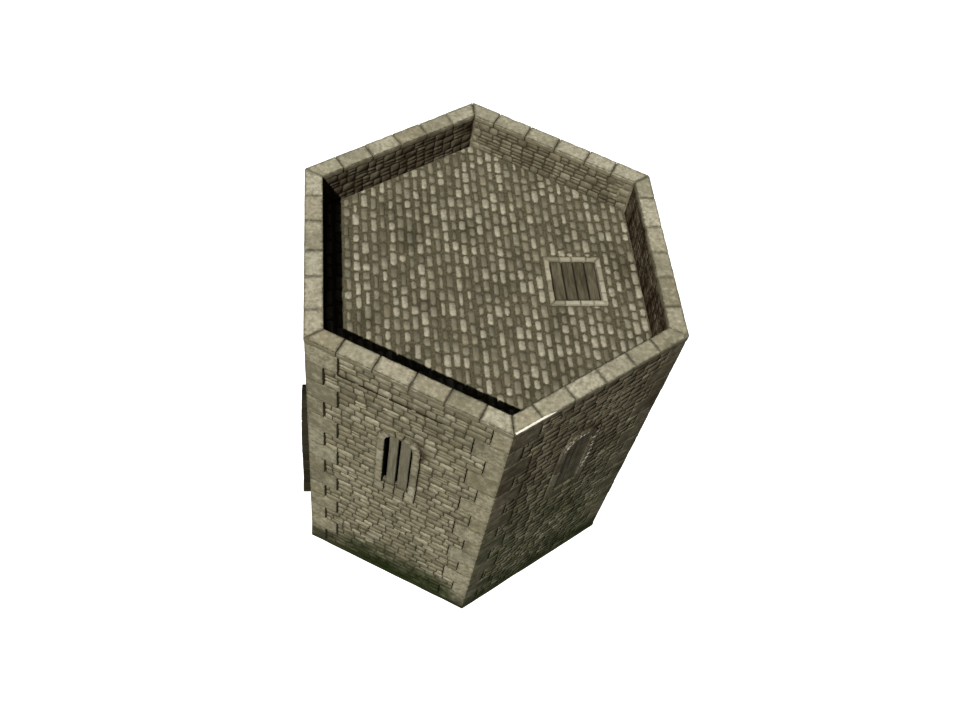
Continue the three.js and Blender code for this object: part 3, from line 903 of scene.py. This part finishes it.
def arched_surround(pile, opening, back, face, place, rng, jamb_stones, arch_stones, sill=0.0):
    """Dressed stones round an opening: a sill, two jambs and a ring of voussoirs."""
    joint = 0.12 * MM
    centre, inner, outer = opening["centre"], opening["inner"], opening["outer"]
    foot, spring = opening["foot"], opening["spring"]
    jamb_foot = foot + sill
    sill_stones = 4 if sill else 0
    for index in range(sill_stones):
        start, end = (centre - outer + 2 * outer * (index + step) / sill_stones for step in (0, 1))
        outline = box_outline(start + joint, foot, end - joint, jamb_foot - joint)
        dressed(pile, outline, back, face, place, rng, **FINE)
    rise = (spring - jamb_foot) / jamb_stones
    for side in (-1, 1):
        for index in range(jamb_stones):
            low, high = jamb_foot + index * rise + joint, jamb_foot + (index + 1) * rise - joint
            near, far = sorted((centre + side * inner, centre + side * outer))
            front = face - rng.uniform(0, 0.08) * MM
            dressed(pile, box_outline(near, low, far, high), back, front, place, rng, **FINE)
    slack = math.degrees(joint / inner)
    for index in range(arch_stones):
        start, end = 180 * index / arch_stones + slack, 180 * (index + 1) / arch_stones - slack
        outline = wedge(inner, outer, centre, spring, start, end)
        dressed(pile, outline, back, face - rng.uniform(0, 0.08) * MM, place, rng, **FINE)


def make_window(name, angle, seed):
    rng = random.Random(seed)
    place = on_wall(angle)
    pile = Pile(f"window_stones_{name}", ["frame"])
    back, face = PANEL_FACE - 0.25 * MM, WINDOW["face"] - 0.05 * MM
    sill = WINDOW["board_foot"] - WINDOW["foot"] + 0.3 * MM
    arched_surround(pile, WINDOW, back, face, place, rng, jamb_stones=4, arch_stones=7, sill=sill)
    pile.build("tower", "quoin_stone", f"window_surround_{name}")
    make_window_boards(name, place, rng)


def make_window_chips(name, angle, seed):
    """Bare chips on the left shoulder of the arch and down the right jamb."""
    rng = random.Random(seed)
    place = on_wall(angle)
    pile = Pile(f"window_chips_{name}", ["bare"])
    middle = (WINDOW["inner"] + WINDOW["outer"]) / 2
    spots = []
    for turn in range(80, 175, 11):
        angle_here = math.radians(turn + rng.uniform(-3, 3))
        spots.append((middle * math.cos(angle_here), WINDOW["spring"] + middle * math.sin(angle_here)))
    height = WINDOW["spring"] + 3 * MM
    while height > WINDOW["foot"] + 12 * MM:
        spots.append((middle, height))
        height -= rng.uniform(2.2, 3.6) * MM
    for along, up in spots:
        wide, tall = rng.uniform(0.6, 0.95) * MM, rng.uniform(0.5, 0.9) * MM
        along += WINDOW["centre"] + rng.uniform(-0.5, 0.5) * MM
        quad = box_outline(along - wide, up - tall, along + wide, up + tall)
        back, front = WINDOW["face"] - 0.5 * MM, WINDOW["face"] - 0.02 * MM
        laid_stone(pile, quad, back, front, place, rng, rounding=0.08 * MM)
    pile.build("tower", "quoin_stone")


def make_window_boards(name, place, rng):
    """Upright boards with slots between them, behind the surround."""
    pile = Pile(f"window_boards_{name}", ["window_oak"])
    spacing = 4.5 * MM
    left_slot, middle_slot, right_slot = 1.3 * MM, 0.7 * MM, 0.45 * MM
    half, spring = WINDOW["board_half"], WINDOW["spring"]
    foot = WINDOW["board_foot"]
    edges = [
        -half, -spacing - left_slot / 2, -spacing + left_slot / 2, -middle_slot / 2,
        middle_slot / 2, spacing - right_slot / 2, spacing + right_slot / 2, half,
    ]
    thickness = 1.7 * MM
    middle_depth = WINDOW["board_front"] - thickness / 2
    for left, right in zip(edges[::2], edges[1::2]):
        centre = (left + right) / 2

        def end(across, centre=centre):
            spot = min(abs(centre + across), half)
            return spring - foot + math.sqrt(max(half * half - spot * spot, 0)) * 0.98 + 0.1 * MM

        def at(across, through, along, centre=centre):
            return place(WINDOW["centre"] + centre + across, foot + along, middle_depth + through)
        board(pile, right - left, thickness, end, at, rng, 12)
    rails = (foot, foot + 1.4 * MM, half * 0.97), (spring + left_slot, spring + half * 0.82, half * 0.55)
    rail_depth = middle_depth - 0.3 * MM
    for bottom, top, reach in rails:
        def rail(across, through, along, level=(bottom + top) / 2, reach=reach):
            return place(WINDOW["centre"] - reach + along, level + across, rail_depth + through)
        board(pile, top - bottom, thickness - 0.5 * MM, constant(2 * reach), rail, rng, 8)
    pile.build("tower", "oak", f"window_bars_{name}")


def fill_joints(pile, place, set_back=0.3 * MM):
    """Dark filling inside the door's surround, so that no light comes through its joints."""
    near, far = DOOR["inner"] + set_back, DOOR["outer"] - set_back
    back, face = DOOR["back"] - set_back, DOOR["face"] - set_back
    for side in (-1, 1):
        low, high = sorted((side * near, side * far))
        prism(pile, box_outline(low, DOOR["foot"], high, DOOR["spring"]), back, face, place)
    prism(pile, wedge(near, far, 0.0, DOOR["spring"], 0, 180, steps=24), back, face, place)


def make_door_surround(seed):
    rng = random.Random(seed)
    place = on_wall(WALL_ANGLES["left"])
    pile = Pile("door_stones", ["door_stone"])
    back, face = DOOR["back"] - 0.5 * MM, DOOR["face"] - 0.1 * MM
    arched_surround(pile, DOOR, back, face, place, rng, jamb_stones=5, arch_stones=9)
    fill_joints(pile, place)
    pile.build("tower", "quoin_stone", "door_jamb_front", "door_jamb_rear", "door_arch")
    step = Pile("door_step_stone", ["base"])
    low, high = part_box("door_step")
    inset = 0.1 * MM
    outline = box_outline(-high.x, -high.y, -low.x - inset, high.y)
    dressed(step, outline, low.z + inset, high.z, in_plan(WALL_ANGLES["left"]), rng, wear=0.3 * MM)
    step.build("tower", "base", "door_step")


def make_door_boards(seed):
    """Four upright planks, cut to the arch at their heads."""
    rng = random.Random(seed)
    place = on_wall(WALL_ANGLES["left"])
    radius = max(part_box(f"door_plank_{index}")[1].y for index in range(1, 5)) + PLANK_GAP / 2
    for index in range(1, 5):
        low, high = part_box(f"door_plank_{index}")
        centre = -(low.y + high.y) / 2
        width, thickness = high.y - low.y, high.x - low.x
        depth = -(low.x + high.x) / 2
        spring = DOOR["spring"]

        def end(across, centre=centre, foot=low.z):
            spot = centre + across
            return spring - foot + math.sqrt(max(radius * radius - spot * spot, 0))

        def at(across, through, along, centre=centre, depth=depth, foot=low.z):
            return place(centre + across, foot + along, depth + through)
        pile = Pile(f"door_board_{index}", ["oak"])
        board(pile, width, thickness, end, at, rng, 16)
        pile.build("door", "oak", f"door_plank_{index}")


def make_nails():
    """Round-headed nails along the strap hinges, on the outside of the door."""
    pile = Pile("door_nails", ["iron"])
    place = on_wall(WALL_ANGLES["left"])
    face = -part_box("door_plank_1")[0].x
    for strap in ("lower", "upper"):
        low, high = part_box(f"door_strap_{strap}")
        up = (low.z + high.z) / 2
        for index in range(NAILS):
            along = -(high.y - 3.2 * MM) + index * NAIL_PITCH

            def at(a, b, c, along=along, up=up):
                return place(along + a, up + b, face + c)
            nail_head(pile, at, NAIL_RADIUS)
    pile.build("door", "iron", sharp=60)


def nail_head(pile, place, radius, sides=10, rings=3):
    """A flattened dome."""
    rise = radius * 0.45
    points = [place(0, 0, -0.3 * MM)]
    for ring in range(rings + 1):
        turn = math.pi / 2 * ring / (rings + 1)
        reach = radius * math.cos(turn)
        for side in range(sides):
            angle = 2 * math.pi * side / sides
            spot = reach * math.cos(angle), reach * math.sin(angle), rise * math.sin(turn) - 0.05 * MM
            points.append(place(*spot))
    points.append(place(0, 0, rise))
    top = 1 + rings * sides
    faces = [[0, 1 + (side + 1) % sides, 1 + side] for side in range(sides)]
    faces += skin(sides, rings + 1, first=1)
    faces += [[top + side, top + (side + 1) % sides, len(points) - 1] for side in range(sides)]
    pile.add(points, faces, [0.3] * len(points))


# ---- roof ----

def clipped(polygon, face):
    """The part of a polygon inside a hexagon whose sides are this far from the middle."""
    for angle in WALL_ANGLES.values():
        normal = Vector((math.cos(math.radians(angle)), math.sin(math.radians(angle))))
        kept = []
        for index, end in enumerate(polygon):
            start = polygon[index - 1]
            before, after = normal.dot(start) - face, normal.dot(end) - face
            if before * after < 0:
                kept.append(start + (end - start) * (before / (before - after)))
            if after <= 0:
                kept.append(end)
        polygon = kept
        if len(polygon) < 3:
            return []
    return polygon


def area(polygon):
    return abs(sum(polygon[i - 1].cross(p) for i, p in enumerate(polygon))) / 2


def around_hole(left, bottom, right, top, hole):
    """A rectangle less a rectangular hole, as smaller rectangles."""
    if hole is None or right <= hole[0] or left >= hole[2] or top <= hole[1] or bottom >= hole[3]:
        return [(left, bottom, right, top)]
    parts = [(left, bottom, hole[0], top), (hole[2], bottom, right, top)]
    inner_left, inner_right = max(left, hole[0]), min(right, hole[2])
    parts += [(inner_left, bottom, inner_right, hole[1]), (inner_left, hole[3], inner_right, top)]
    return [p for p in parts if p[2] - p[0] > 0.9 * MM and p[3] - p[1] > 0.9 * MM]


def pave(pile, face, level, back, brick, hole, rng):
    """Columns of bricks along Y, in running bond, inside a hexagon."""
    width, length = brick
    place = in_plan(0)
    reach = face / math.cos(math.pi / 6)
    half = JOINT / 2 + 0.08 * MM
    columns = math.ceil(face / width)
    for column in range(-columns, columns + 1):
        left = (column - 0.5) * width
        bottom = -reach - length * (0.5 if column % 2 else 0) + rng.uniform(-0.12, 0.12) * length
        while bottom < reach:
            top = bottom + length * rng.uniform(0.62, 1.1)
            for x0, y0, x1, y1 in around_hole(left, bottom, left + width, top, hole):
                squeeze = rng.uniform(0.15, 0.8) * MM
                x0, x1 = x0 + half + squeeze * rng.random(), x1 - half - squeeze * rng.random()
                corners = box_outline(x0, y0 + half, x1, y1 - half)
                shape = clipped([Vector(c) for c in corners], face)
                if len(shape) > 2 and area(shape) > 2.2 * MM * MM:
                    front = level + rng.uniform(-0.2, 0.0) * MM
                    laid_stone(pile, shape, back, front, place, rng, rounding=0.22 * MM, worn=0.6 * MM)
            bottom = top


def make_roof(seed):
    """The roof floor's bricks, on a bed that stands for the mortar."""
    rng = random.Random(seed)
    pile = Pile("roof_paving", ["paving", "mortar"])
    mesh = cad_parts["roof_deck"].data
    bed_top = DECK_TOP - BED_DEPTH
    points = [(v.co.x, v.co.y, min(v.co.z, bed_top)) for v in mesh.vertices]
    pile.add(points, [list(p.vertices) for p in mesh.polygons], [0.0] * len(points), kind=1)
    low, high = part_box("trapdoor_border")
    gap = 0.1 * MM
    hole = low.x - gap, low.y - gap, high.x + gap, high.y + gap
    pave(pile, DECK_FACE - 0.05 * MM, DECK_TOP + 0.1 * MM, bed_top - 0.3 * MM, BRICK, hole, rng)
    pile.build("roof", "paving", "roof_deck")


def make_trapdoor_border(seed):
    """Pale stones round the trapdoor, mitred at the corners."""
    rng = random.Random(seed)
    low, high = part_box("trapdoor_border")
    pile = Pile("trapdoor_stones", ["border"])
    middle = (low + high) / 2
    half_x, half_y = (high.x - low.x) / 2, (high.y - low.y) / 2
    for number in range(4):
        outer, half_along = (half_y, half_x) if number % 2 else (half_x, half_y)
        spin = Matrix.Rotation(math.radians(90 * number), 3, "Z")

        def place(x, y, z, spin=spin):
            return Vector((middle.x, middle.y, 0)) + spin @ Vector((x, y, z))

        def reach(face, half_along=half_along, outer=outer):
            return half_along - (outer - face)
        for outline in mitred_row(outer - TRAP_BORDER, outer, reach, 4, 0.12, 0.07 * MM, rng):
            top = high.z - rng.uniform(0, 0.1) * MM
            dressed(pile, outline, low.z, top, place, rng, chamfer=0.14 * MM, wear=0.12 * MM, net=1.2 * MM,
                    rough=0.04 * MM, rim_width=0.4 * MM)
    pile.build("roof", "coping_stone", "trapdoor_border")


def make_trapdoor_boards(seed):
    """Four planks, the last one round where it turns on its pin, and the battens across them."""
    rng = random.Random(seed)
    for index in range(1, 5):
        node = f"trapdoor_plank_{index}"
        low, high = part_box(node)
        middle = (low + high) / 2
        pile = Pile(f"trapdoor_board_{index}", ["trapdoor_oak"])

        def at(across, through, along, middle=middle, low=low):
            return Vector((middle.x + across, low.y + along, middle.z + through))
        shape = rounded_board if index == 4 else board
        shape(pile, high.x - low.x, high.z - low.z, constant(high.y - low.y), at, rng, 14)
        pile.build("trapdoor", "oak", node)
    for side in ("front", "rear"):
        node = f"trapdoor_batten_{side}"
        low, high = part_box(node)
        middle = (low + high) / 2
        pile = Pile(f"trapdoor_crosspiece_{side}", ["trapdoor_oak"])

        def at(across, through, along, middle=middle, low=low):
            return Vector((low.x + along, middle.y + across, middle.z + through))
        board(pile, high.y - low.y, high.z - low.z, constant(high.x - low.x), at, rng, 8)
        pile.build("trapdoor", "oak", node)


def make_ledges(seed):
    """Six beams inside the walls, which carry the roof floor."""
    rng = random.Random(seed)
    low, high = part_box("ledge_right")
    middle = (low + high) / 2
    for name, angle in WALL_ANGLES.items():
        pile = Pile(f"ledge_beam_{name}", ["oak"])

        def at(across, through, along, place=on_wall(angle)):
            return place(low.y + along, middle.z + through, middle.x + across)
        board(pile, high.x - low.x, high.z - low.z, constant(high.y - low.y), at, rng, 16)
        pile.build("tower", "oak", f"ledge_{name}")


# ---- base ----

def make_base(seed):
    """The base plate, with flagstones inside the walls."""
    rng = random.Random(seed)
    pile = Pile("base_slab", ["base", "flagstone"])
    radius = BASE_FACE / math.cos(math.pi / 6)
    turns = [math.radians(angle) for angle in CORNER_ANGLES.values()]
    outline = [(radius * math.cos(turn), radius * math.sin(turn)) for turn in turns]
    dressed(pile, outline, 0.08 * MM, BASE_TOP, in_plan(0), rng, chamfer=0.25 * MM, wear=0.2 * MM,
            net=5 * MM, rough=0.06 * MM)
    first = len(pile.faces)
    pave(pile, INNER_FACE - 0.3 * MM, BASE_TOP + 0.3 * MM, BASE_TOP - 0.6 * MM, FLAGSTONE, None, rng)
    pile.kinds[first:] = [1] * (len(pile.faces) - first)
    pile.build("tower", "base", "base_plate")


def make_bare_arris():
    """A pale strip along the outside of the coping, next to the front corner: a painted highlight on the
    edge, shaped as a chipped bare edge.
    """
    rng = random.Random(77)
    pile = Pile("coping_bare_arris", ["bare"])
    place = on_wall(WALL_ANGLES["front_right"])
    start, length, width = -HALF_SIDE + 0.7 * MM, 15 * MM, 0.7 * MM
    soft = 0.12 * MM
    top, out = TOWER_TOP - 0.02 * MM, COPING_FACE
    steps = 24
    points = []
    for step in range(steps + 1):
        along = start + length * step / steps
        taper = min(1.0, 3.5 * (1 - step / steps) + 0.15) * rng.uniform(0.8, 1.0)
        reach = width * taper
        section = [
            (top, out - reach), (top, out - soft), (top - soft, out), (top - reach, out),
            (top - width, out - width),
        ]
        points += [place(along, up, depth) for up, depth in section]
    count = len(section)
    faces = skin(count, steps + 1)
    faces += [list(range(count - 1, -1, -1)), [steps * count + side for side in range(count)]]
    pile.add(points, faces, [0.0] * len(points))
    pile.build("tower", "coping_stone")


# ---- everything ----

for number, (name, angle) in enumerate(WALL_ANGLES.items()):
    make_wall(name, angle, 100 + number)
    make_coping(name, angle, 563 + number)
    if name != "left":
        make_window(name, angle, 300 + number)
for number, (name, angle) in enumerate(CORNER_ANGLES.items()):
    make_quoins(name, angle, 770 + number)
make_door_surround(500)
make_door_boards(510)
make_nails()
make_roof(600)
make_trapdoor_border(610)
make_trapdoor_boards(620)
make_ledges(630)
make_base(640)
make_window_chips("front_right", WALL_ANGLES["front_right"], 650)
# A painted highlight along the coping's edge by the front corner.
make_bare_arris()

IRONWORK = (
    "door_ring", "door_strap_lower", "door_strap_upper", "door_pintle_lower", "door_pintle_upper",
    "trapdoor_hinge_pin",
)
for node in IRONWORK:
    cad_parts[node].data.materials.clear()
    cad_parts[node].data.materials.append(PAINTS["iron"])


# ---- floor, light and camera ----

PALE = (1.0, 1.0, 1.0, 1)


def make_floor():
    half = 3.0
    mesh = bpy.data.meshes.new("floor")
    corners = [(x, y, 0) for x, y in box_outline(-half, -half, half, half)]
    mesh.from_pydata(corners, [], [[0, 1, 2, 3]])
    made = Paint("floor", roughness=0.9)
    made.shader.inputs["Emission Color"].default_value = PALE
    made.shader.inputs["Emission Strength"].default_value = 1.0
    made.shader.inputs["Base Color"].default_value = (0.2, 0.2, 0.2, 1)
    mesh.materials.append(made.material)
    floor = bpy.data.objects.new("floor", mesh)
    bpy.context.scene.collection.objects.link(floor)
    floor.visible_diffuse = False
    floor.visible_glossy = False


def add_sun(name, azimuth, elevation, strength, spread):
    """A distant light that comes from this direction. Azimuth is counter-clockwise from +X."""
    light = bpy.data.lights.new(name, "SUN")
    light.energy = strength
    light.angle = math.radians(spread)
    sun = bpy.data.objects.new(name, light)
    turn, rise = math.radians(azimuth), math.radians(elevation)
    source = Vector((math.cos(turn) * math.cos(rise), math.sin(turn) * math.cos(rise), math.sin(rise)))
    sun.rotation_mode = "QUATERNION"
    sun.rotation_quaternion = source.to_track_quat("Z", "Y")
    bpy.context.scene.collection.objects.link(sun)


def make_world():
    """A pale backdrop that gives only a little light."""
    world = bpy.data.worlds.new("studio")
    bpy.context.scene.world = world
    world.use_nodes = True
    nodes, links = world.node_tree.nodes, world.node_tree.links
    dim = nodes["Background"]
    dim.inputs["Color"].default_value = PALE
    dim.inputs["Strength"].default_value = 0.05
    bright = nodes.new("ShaderNodeBackground")
    bright.inputs["Strength"].default_value = 1.0
    bright.inputs["Color"].default_value = PALE
    choose = nodes.new("ShaderNodeMixShader")
    path = nodes.new("ShaderNodeLightPath")
    links.new(path.outputs["Is Camera Ray"], choose.inputs[0])
    links.new(dim.outputs[0], choose.inputs[1])
    links.new(bright.outputs[0], choose.inputs[2])
    links.new(choose.outputs[0], nodes["World Output"].inputs["Surface"])


def make_camera():
    """Looks down on the roof from the front, a little from the left, and leans to one side."""
    data = bpy.data.cameras.new("camera")
    data.sensor_width = 36
    data.lens = 37.115
    data.clip_start, data.clip_end = 0.01, 20
    camera = bpy.data.objects.new("camera", data)
    camera.location = (-0.05297, -0.20738, 0.39260)
    azimuth, elevation, lean = math.radians(15.43), math.radians(55.53), math.radians(12.33)
    level = math.cos(elevation)
    forward = Vector((math.sin(azimuth) * level, math.cos(azimuth) * level, -math.sin(elevation)))
    camera.rotation_mode = "QUATERNION"
    camera.rotation_quaternion = (
        forward.to_track_quat("-Z", "Y") @ Matrix.Rotation(lean, 3, "Z").to_quaternion()
    )
    bpy.context.scene.collection.objects.link(camera)
    bpy.context.scene.camera = camera


make_floor()
add_sun("key", azimuth=239, elevation=50, strength=7.4, spread=1.2)
add_sun("rear_fill", azimuth=62, elevation=5, strength=2.6, spread=12)
make_world()
make_camera()
bpy.context.scene.view_settings.view_transform = "Standard"
bpy.context.scene.view_settings.gamma = VIEW_GAMMA
